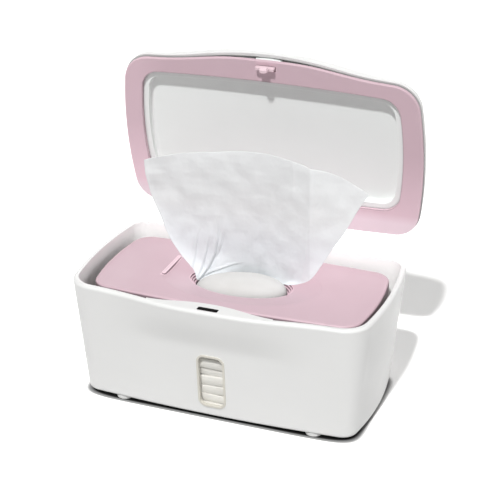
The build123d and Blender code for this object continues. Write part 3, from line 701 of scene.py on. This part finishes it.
def from_line(x, z, line):
    """How far a point is to the right of a line of points, and its share of the way along it."""
    best = None
    for i, ((x0, z0), (x1, z1)) in enumerate(zip(line, line[1:])):
        length = math.hypot(x1 - x0, z1 - z0)
        way_x, way_z = (x1 - x0) / length, (z1 - z0) / length
        ahead = (x - x0) * way_x + (z - z0) * way_z
        inside = min(max(ahead, 0.0), length)
        far = math.hypot(x - x0 - way_x * inside, z - z0 - way_z * inside)
        side = (x - x0) * way_z - (z - z0) * way_x
        if best is None or far < abs(best[0]):
            best = (math.copysign(far, side), (i + ahead / length) / (len(line) - 1))
    return best


def fold_push(x, z):
    """How far the folds push the sheet back. Each steps back at its line and comes forward again after it."""
    push = 0.0
    for depth, width, line in FOLDS:
        off, share = from_line(x, z, line)
        fade = clamp(5 * share + 0.4) * clamp(2.2 * (1 - share))
        step = 1 / (1 + math.exp(-off / FOLD_STEP_WIDTH)) * math.exp(-max(off, 0.0) / width)
        push += depth * fade * (step - FOLD_LIP_SHARE * math.exp(-(off + FOLD_LIP_PLACE) ** 2))
    return push


def ridge(off, round_off, width):
    """Nearly 1 at a ridge's line, and less to both sides over a width, with a slightly rounded crest."""
    return math.exp(-math.sqrt(off * off + round_off) / width)


def wipe_point(u, v):
    """A point of the wipe, which is gathered at its foot and fans out, with sharp folds low at the left."""
    x, y, z = (along(LEFT_EDGE, v).lerp(along(RIGHT_EDGE, v), u)
               + from_chord(along(TOP_EDGE, u), TOP_EDGE, u) * v ** 1.6
               + from_chord(along(FOOT, u), FOOT, u) * (1 - v) ** 2.2)
    low = 1 - v
    wave = math.sin(math.tau * (WAVE_COUNT * u + 0.12 * v) + 0.6)
    y += WAVE_DEPTH * wave * (0.35 + 0.65 * low) * clamp(6 * u * (1 - u))
    off_ridge = x - (RIDGE_X - RIDGE_TURN_AT_FOOT * low ** 2)
    y += RIDGE_SLOPE * (math.sqrt(off_ridge * off_ridge + 0.5) + off_ridge)
    y -= RIDGE_HEIGHT * ridge(off_ridge, 0.3, RIDGE_WIDTH) * clamp(2.5 * v)
    y -= TOP_PLEAT_HEIGHT * ridge(x - TOP_PLEAT_X, 0.2, TOP_PLEAT_WIDTH) * clamp((z - TOP_PLEAT_LOW) / 12)
    y += fold_push(x, z)
    y += CREASE_DEPTH * noise.noise(Vector((x / 17, 3.1, z / 4.2))) * v * (0.35 + 0.65 * (1 - u))
    y += DIMPLE_DEPTH * noise.noise(Vector((x / 9 + 7, 0.4, z / 12)))
    y += GRAIN_DEPTH * noise.noise(Vector((x / 3.1, 9.0, z / 2.6)))
    y -= HEM_HEIGHT * math.exp(-(u / HEM_WIDTH) ** 2) * v
    return spot(x, y, z)


def make_pulled_wipe():
    across = [i / (WIPE_POINTS_ACROSS - 1) for i in range(WIPE_POINTS_ACROSS)]
    up = [j / (WIPE_POINTS_UP - 1) for j in range(WIPE_POINTS_UP)]
    verts = [wipe_point(u, v) for v in up for u in across]
    wipe = smooth_object("wipe_sheet", verts, grid_faces(len(across), len(up)), cloth_material())
    give_thickness(wipe, WIPE_THICKNESS)
    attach(wipe, "plate")
    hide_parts("pulled_wipe")
    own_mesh(wipe)
    return wipe


# The folded wipes

STACK_LOW = 5.5
STACK_HIGH = 76.7
STACK_WIDTH = 190.0
STACK_DEPTH = 99.0
STACK_MIDDLE_Y = 1.5
STACK_SEED = 5
SLAB_COUNT = 10
SLAB_POINTS = 132
SLAB_SQUARENESS = 9

# The outline of a slab's rolled edge: how far in, and at which share of its thickness
SLAB_EDGE = ((14, 0.0), (0.5, 0.0), (0.1, 0.12), (0, 0.5), (0.1, 0.88), (0.5, 1.0), (14, 1.0))

# How far the slabs bulge to the window, at the pane's foot, per millimetre above it and at most
PANE_LOW = 12.6
BULGE_LOW = 6.2
BULGE_SLOPE = 0.115
BULGE_MOST = 11.3
BULGE_HALF_WIDTH = 34.0

# The crown, which is the top wipe's fold in the plate's opening
CROWN_RINGS = 22
CROWN_POINTS = 96
CROWN_HALF_WIDTH = 34.1
CROWN_HALF_DEPTH = 16.1
CROWN_MIDDLE_Y = 2.6
CROWN_RISE = 14.0
CROWN_SUNK = 1.5
CROWN_TURN = math.radians(7.0)
CROWN_LEAN_X = 9.0
CROWN_LEAN_Y = 5.5


def slab_levels(dice):
    """The heights of the slabs' undersides and of the stack's top, unevenly apart."""
    levels = [STACK_LOW]
    for _ in range(SLAB_COUNT):
        levels.append(levels[-1] + dice.uniform(0.6, 1.4))
    stretch = (STACK_HIGH - STACK_LOW) / (levels[-1] - STACK_LOW)
    return [STACK_LOW + (level - STACK_LOW) * stretch for level in levels]


def squarish(width, depth, angle):
    """A point on a rounded rectangle of power-curve form, at an angle."""
    c, s = math.cos(angle), math.sin(angle)
    r = (abs(c) ** SLAB_SQUARENESS + abs(s) ** SLAB_SQUARENESS) ** (-1 / SLAB_SQUARENESS)
    return width / 2 * r * c, depth / 2 * r * s


def window_bulge(x, y, z, depth, reach):
    """How far a slab's front comes forward towards the window."""
    if y >= 0:
        return 0.0
    bulge = min(BULGE_LOW + BULGE_SLOPE * max(z - PANE_LOW, 0.0), BULGE_MOST) + reach
    return bulge * math.exp(-(x / BULGE_HALF_WIDTH) ** 4) * min(1.0, -2 * y / depth)


def slab_verts(dice, number, low, high):
    """One folded wipe: a soft slab with rolled edges, a little askew and wavy."""
    shift_x, shift_y = dice.uniform(-1.2, 1.2), dice.uniform(-0.8, 0.8)
    width = STACK_WIDTH - dice.uniform(2.4, 4.6)
    depth = STACK_DEPTH - dice.uniform(1.7, 3.4)
    phase = dice.uniform(0, math.tau)
    reach = dice.uniform(-0.45, 0.1)
    slant = dice.uniform(-0.07, 0.07)
    loose = 0.8 if 0 < number < SLAB_COUNT - 1 else 0.24
    verts = []
    for inset, height in SLAB_EDGE:
        for i in range(SLAB_POINTS):
            angle = math.tau * i / SLAB_POINTS
            x, y = squarish(width - 2 * inset, depth - 2 * inset, angle)
            z = low + (high - low) * height
            y -= window_bulge(x, y, z, depth, reach)
            wave = 0.34 * math.sin(3 * angle + phase) + 0.22 * math.sin(11 * angle + 2 * phase)
            sag = 0.5 * noise.noise(Vector((x / 22, y / 22, number * 3.7)))
            tilt = slant * x * math.exp(-(x / 30) ** 2)
            z = min(max(z + (wave + sag + tilt) * loose, STACK_LOW), STACK_HIGH)
            verts.append(spot(x + shift_x, y + STACK_MIDDLE_Y + shift_y, z))
    return verts


def crown_verts():
    """A low dome that leans back to the right, ring by ring up to its top."""
    verts = []
    for j in range(CROWN_RINGS):
        share = j / (CROWN_RINGS - 1)
        radius = math.cos(share * math.pi / 2) ** 0.8 if share < 1 else 0.0
        radius *= 1 + 0.09 * math.sin(math.pi * share)
        rise = (CROWN_RISE + CROWN_SUNK) * math.sin(share * math.pi / 2) ** 0.9
        for i in range(CROWN_POINTS):
            angle = math.tau * i / CROWN_POINTS
            wide = CROWN_HALF_WIDTH * radius * math.cos(angle)
            deep = CROWN_HALF_DEPTH * radius * math.sin(angle)
            x = wide * math.cos(CROWN_TURN) - deep * math.sin(CROWN_TURN) + CROWN_LEAN_X * share ** 2
            y = wide * math.sin(CROWN_TURN) + deep * math.cos(CROWN_TURN) + CROWN_LEAN_Y * share ** 2
            z = STACK_HIGH - CROWN_SUNK + rise + 0.3 * noise.noise(Vector((x / 9, y / 5, 2.0))) * share
            verts.append(spot(x, y + CROWN_MIDDLE_Y, z))
    return verts


def make_wipe_stack():
    """Ten folded wipes, and the top one's fold bulging in the opening."""
    dice = random.Random(STACK_SEED)
    verts, faces = [], []
    levels = slab_levels(dice)
    for number, (low, high) in enumerate(zip(levels, levels[1:])):
        faces += ring_faces(SLAB_POINTS, len(SLAB_EDGE), len(verts))
        verts += slab_verts(dice, number, low, high)
    faces += ring_faces(CROWN_POINTS, CROWN_RINGS, len(verts), top=False)
    verts += crown_verts()
    stack = smooth_object("folded_wipes", verts, faces, stack_material())
    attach(stack, "base")
    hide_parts("wipe_stack")
    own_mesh(stack)


# The springs

LID_SPRING_X = 10.95
LID_SPRING_PITCH = 1.8
LID_SPRING_RADIUS = 3.0
LID_SPRING_WIRE = 1.1
LID_SPRING_TURNS = 4
LID_SPRING_LEG = 9.2
LID_SPRING_STEPS = 200
LEG_STEPS = 5
BUTTON_SPRING_LENGTH = 5.2
BUTTON_SPRING_RADIUS = 1.9
BUTTON_SPRING_WIRE = 0.6
BUTTON_SPRING_TURNS = 4
BUTTON_SPRING_STEPS = 160


def make_lid_spring(name, stands_for, side, steel):
    """A torsion spring round the pin: a leg in the tub's seat, a coil, and a leg on the lid's shelf."""
    first = 1.5 * math.pi
    turn = math.tau * LID_SPRING_TURNS + math.pi - OPEN_ANGLE
    width = LID_SPRING_PITCH * turn / math.tau
    coil = []
    for i in range(LID_SPRING_STEPS + 1):
        share = i / LID_SPRING_STEPS
        angle = first + turn * share
        coil.append(spot(side * (LID_SPRING_X + width * share),
                         HINGE_Y + LID_SPRING_RADIUS * math.cos(angle),
                         HINGE_Z + LID_SPRING_RADIUS * math.sin(angle)))
    leg = LID_SPRING_LEG * MM
    low_way = Vector((0, -1, 0))
    high_way = Vector((0, -math.sin(first + turn), math.cos(first + turn)))
    low_leg = [coil[0] + low_way * leg * (1 - k / LEG_STEPS) for k in range(LEG_STEPS)]
    high_leg = [coil[-1] + high_way * leg * (k + 1) / LEG_STEPS for k in range(LEG_STEPS)]
    spring = wire_tube(name, low_leg + coil + high_leg, LID_SPRING_WIRE, steel)
    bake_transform(spring)
    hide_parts(stands_for)


def make_button_spring(steel):
    """The button's return coil, between the button and the tray's wall."""
    low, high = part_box("latch_spring")
    middle = (Vector(low) + Vector(high)) / 2
    way = Vector((0, math.cos(OPEN_ANGLE), -math.sin(OPEN_ANGLE)))
    across = Vector((1, 0, 0))
    up = way.cross(across)
    line = []
    for i in range(BUTTON_SPRING_STEPS + 1):
        share = i / BUTTON_SPRING_STEPS
        angle = math.tau * BUTTON_SPRING_TURNS * share
        round_axis = (across * math.cos(angle) + up * math.sin(angle)) * BUTTON_SPRING_RADIUS * MM
        line.append(middle + way * (share - 0.5) * BUTTON_SPRING_LENGTH * MM + round_axis)
    coil = wire_tube("button_coil", line, BUTTON_SPRING_WIRE, steel)
    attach(coil, "lid")
    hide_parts("latch_spring")
    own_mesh(coil)


make_camera()
make_world()
key = make_lamp("key")
make_lamp("fill")
make_lamp("back")
make_floor()
spring_steel = metal("spring_steel", SPRING_STEEL, 0.28, (1, 1, 1))
paint_pieces(spring_steel)
shine_through(key, make_pulled_wipe())
make_wipe_stack()
make_lid_spring("lid_coil_right", "lid_spring_right", 1, spring_steel)
make_lid_spring("lid_coil_left", "lid_spring_left", -1, spring_steel)
make_button_spring(spring_steel)
bpy.context.scene.view_settings.view_transform = "Standard"
